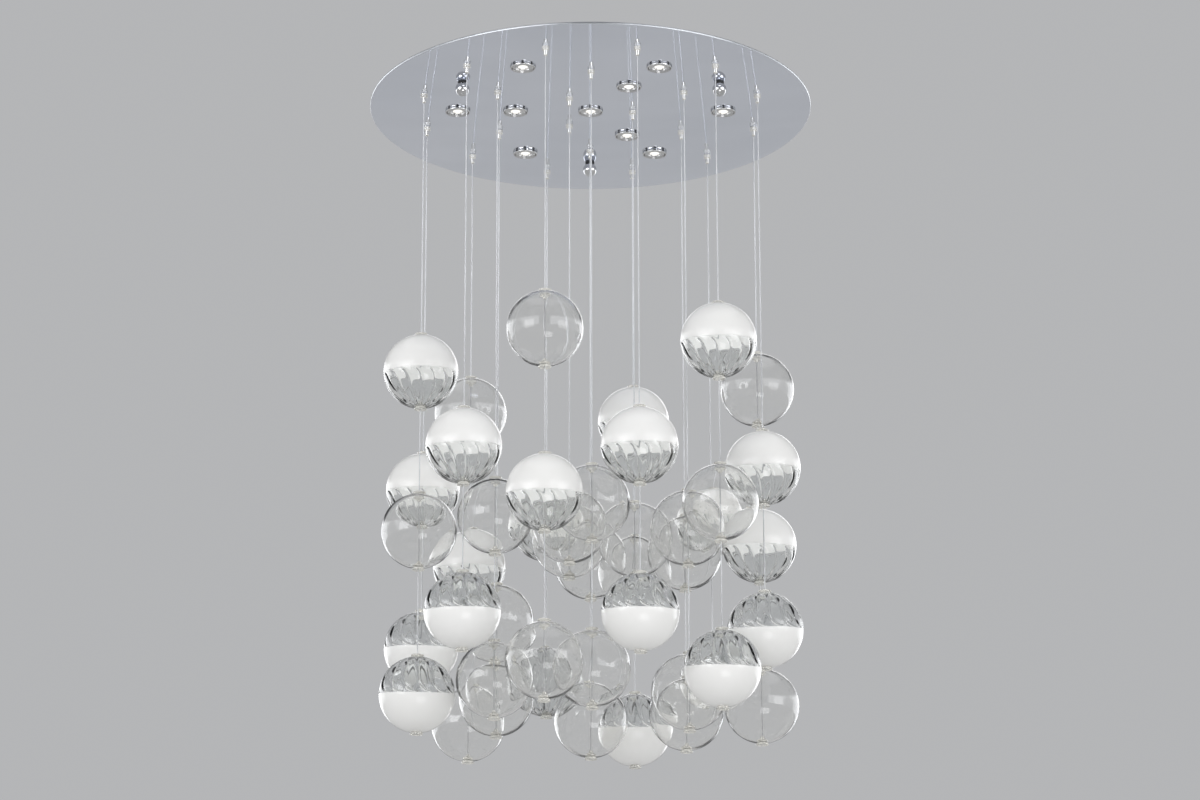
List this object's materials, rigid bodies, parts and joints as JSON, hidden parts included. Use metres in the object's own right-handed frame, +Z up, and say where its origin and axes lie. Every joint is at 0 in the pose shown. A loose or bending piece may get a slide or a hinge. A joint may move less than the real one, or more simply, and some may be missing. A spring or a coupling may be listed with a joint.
{
  "type": "bubble chandelier",
  "caption": "Round mirror canopy with recessed spotlights, from which strings of blown glass globes hang on thin cables in rings.",
  "frame": {"origin": "on the ceiling, at the centre of the ceiling bracket's top face", "axes": "+Z up, away from the canopy into the ceiling; -Y toward the viewer, +X to the viewer's right"},
  "size_m": [0.85, 0.85, 1.3095],
  "materials": {
    "mirror_steel": "mirror polished",
    "chrome": "polished",
    "galvanised_steel": "galvanised",
    "white_plastic": "matte",
    "black_plastic": "matte",
    "clear_glass": "clear, with seed bubbles",
    "white_over_ribbed_glass": "opal white above, clear and ribbed below",
    "ribbed_over_white_glass": "clear and ribbed above, opal white below",
    "ribbed_glass": "clear and ribbed all over"
  },
  "bodies": {
    "root": {"canopy_plate": "mirror_steel", "ceiling_bracket": "galvanised_steel", "led_driver": "white_plastic", "terminal_block": "white_plastic", "mains_gland": "black_plastic", "spotlight_01": "chrome", "spotlight_02": "chrome", "spotlight_03": "chrome", "spotlight_04": "chrome", "spotlight_05": "chrome", "spotlight_06": "chrome", "spotlight_07": "chrome", "spotlight_08": "chrome", "spotlight_09": "chrome", "spotlight_10": "chrome"},
    "outer_string_01": {"outer_01_white_top_globe_1": "white_over_ribbed_glass", "outer_01_ribbed_top_globe_2": "ribbed_over_white_glass"},
    "outer_string_02": {"outer_02_white_top_globe_1": "white_over_ribbed_glass", "outer_02_clear_globe_2": "clear_glass", "outer_02_ribbed_top_globe_3": "ribbed_over_white_glass"},
    "outer_string_03": {"outer_03_white_top_globe_1": "white_over_ribbed_glass", "outer_03_ribbed_top_globe_2": "ribbed_over_white_glass"},
    "outer_string_04": {"outer_04_clear_globe_1": "clear_glass", "outer_04_white_top_globe_2": "white_over_ribbed_glass", "outer_04_clear_globe_3": "clear_glass"},
    "outer_string_05": {"outer_05_white_top_globe_1": "white_over_ribbed_glass", "outer_05_ribbed_top_globe_2": "ribbed_over_white_glass"},
    "outer_string_06": {"outer_06_white_top_globe_1": "white_over_ribbed_glass", "outer_06_clear_globe_2": "clear_glass", "outer_06_ribbed_top_globe_3": "ribbed_over_white_glass"},
    "outer_string_07": {"outer_07_white_top_globe_1": "white_over_ribbed_glass", "outer_07_ribbed_globe_2": "ribbed_glass"},
    "outer_string_08": {"outer_08_clear_globe_1": "clear_glass", "outer_08_white_top_globe_2": "white_over_ribbed_glass", "outer_08_clear_globe_3": "clear_glass"},
    "outer_string_09": {"outer_09_white_top_globe_1": "white_over_ribbed_glass", "outer_09_ribbed_top_globe_2": "ribbed_over_white_glass"},
    "outer_string_10": {"outer_10_white_top_globe_1": "white_over_ribbed_glass", "outer_10_clear_globe_2": "clear_glass", "outer_10_ribbed_top_globe_3": "ribbed_over_white_glass"},
    "outer_string_11": {"outer_11_white_top_globe_1": "white_over_ribbed_glass", "outer_11_ribbed_top_globe_2": "ribbed_over_white_glass"},
    "outer_string_12": {"outer_12_clear_globe_1": "clear_glass", "outer_12_white_top_globe_2": "white_over_ribbed_glass", "outer_12_clear_globe_3": "clear_glass"},
    "mid_string_01": {"mid_01_clear_globe_1": "clear_glass", "mid_01_clear_globe_2": "clear_glass"},
    "mid_string_02": {"mid_02_clear_globe_1": "clear_glass", "mid_02_clear_globe_2": "clear_glass"},
    "mid_string_03": {"mid_03_clear_globe_1": "clear_glass", "mid_03_clear_globe_2": "clear_glass"},
    "mid_string_04": {"mid_04_clear_globe_1": "clear_glass", "mid_04_clear_globe_2": "clear_glass"},
    "mid_string_05": {"mid_05_clear_globe_1": "clear_glass", "mid_05_clear_globe_2": "clear_glass"},
    "mid_string_06": {"mid_06_clear_globe_1": "clear_glass", "mid_06_clear_globe_2": "clear_glass"},
    "inner_string_01": {"inner_01_clear_globe_1": "clear_glass"},
    "inner_string_02": {"inner_02_clear_globe_1": "clear_glass"},
    "inner_string_03": {"inner_03_clear_globe_1": "clear_glass"}
  },
  "joints": [
    {"name": "outer_01_swing", "type": "hinge", "parent": "root", "child": "outer_string_01", "pos_m": [0.08535, -0.31853, -0.074], "axis": [-0.9659, -0.2588, 0], "range_deg": [0, 20]},
    {"name": "outer_02_swing", "type": "hinge", "parent": "root", "child": "outer_string_02", "pos_m": [0.23318, -0.23318, -0.074], "axis": [-0.7071, -0.7071, 0], "range_deg": [0, 20]},
    {"name": "outer_03_swing", "type": "hinge", "parent": "root", "child": "outer_string_03", "pos_m": [0.31853, -0.08535, -0.074], "axis": [-0.2588, -0.9659, 0], "range_deg": [0, 20]},
    {"name": "outer_04_swing", "type": "hinge", "parent": "root", "child": "outer_string_04", "pos_m": [0.31853, 0.08535, -0.074], "axis": [0.2588, -0.9659, 0], "range_deg": [0, 20]},
    {"name": "outer_05_swing", "type": "hinge", "parent": "root", "child": "outer_string_05", "pos_m": [0.23318, 0.23318, -0.074], "axis": [0.7071, -0.7071, 0], "range_deg": [0, 20]},
    {"name": "outer_06_swing", "type": "hinge", "parent": "root", "child": "outer_string_06", "pos_m": [0.08535, 0.31853, -0.074], "axis": [0.9659, -0.2588, 0], "range_deg": [0, 20]},
    {"name": "outer_07_swing", "type": "hinge", "parent": "root", "child": "outer_string_07", "pos_m": [-0.08535, 0.31853, -0.074], "axis": [0.9659, 0.2588, 0], "range_deg": [0, 20]},
    {"name": "outer_08_swing", "type": "hinge", "parent": "root", "child": "outer_string_08", "pos_m": [-0.23318, 0.23318, -0.074], "axis": [0.7071, 0.7071, 0], "range_deg": [0, 20]},
    {"name": "outer_09_swing", "type": "hinge", "parent": "root", "child": "outer_string_09", "pos_m": [-0.31853, 0.08535, -0.074], "axis": [0.2588, 0.9659, 0], "range_deg": [0, 20]},
    {"name": "outer_10_swing", "type": "hinge", "parent": "root", "child": "outer_string_10", "pos_m": [-0.31853, -0.08535, -0.074], "axis": [-0.2588, 0.9659, 0], "range_deg": [0, 20]},
    {"name": "outer_11_swing", "type": "hinge", "parent": "root", "child": "outer_string_11", "pos_m": [-0.23318, -0.23318, -0.074], "axis": [-0.7071, 0.7071, 0], "range_deg": [0, 20]},
    {"name": "outer_12_swing", "type": "hinge", "parent": "root", "child": "outer_string_12", "pos_m": [-0.08535, -0.31853, -0.074], "axis": [-0.9659, 0.2588, 0], "range_deg": [0, 20]},
    {"name": "mid_01_turn", "type": "hinge", "parent": "root", "child": "mid_string_01", "pos_m": [0, -0.20529, -0.074], "axis": [0, 0, 1], "continuous": true},
    {"name": "mid_02_turn", "type": "hinge", "parent": "root", "child": "mid_string_02", "pos_m": [0.17778, -0.10264, -0.074], "axis": [0, 0, 1], "continuous": true},
    {"name": "mid_03_turn", "type": "hinge", "parent": "root", "child": "mid_string_03", "pos_m": [0.17778, 0.10264, -0.074], "axis": [0, 0, 1], "continuous": true},
    {"name": "mid_04_turn", "type": "hinge", "parent": "root", "child": "mid_string_04", "pos_m": [0, 0.20529, -0.074], "axis": [0, 0, 1], "continuous": true},
    {"name": "mid_05_turn", "type": "hinge", "parent": "root", "child": "mid_string_05", "pos_m": [-0.17778, 0.10264, -0.074], "axis": [0, 0, 1], "continuous": true},
    {"name": "mid_06_turn", "type": "hinge", "parent": "root", "child": "mid_string_06", "pos_m": [-0.17778, -0.10264, -0.074], "axis": [0, 0, 1], "continuous": true},
    {"name": "inner_01_turn", "type": "hinge", "parent": "root", "child": "inner_string_01", "pos_m": [0.08141, 0, -0.074], "axis": [0, 0, 1], "continuous": true},
    {"name": "inner_02_turn", "type": "hinge", "parent": "root", "child": "inner_string_02", "pos_m": [-0.0407, 0.0705, -0.074], "axis": [0, 0, 1], "continuous": true},
    {"name": "inner_03_turn", "type": "hinge", "parent": "root", "child": "inner_string_03", "pos_m": [-0.0407, -0.0705, -0.074], "axis": [0, 0, 1], "continuous": true}
  ]
}
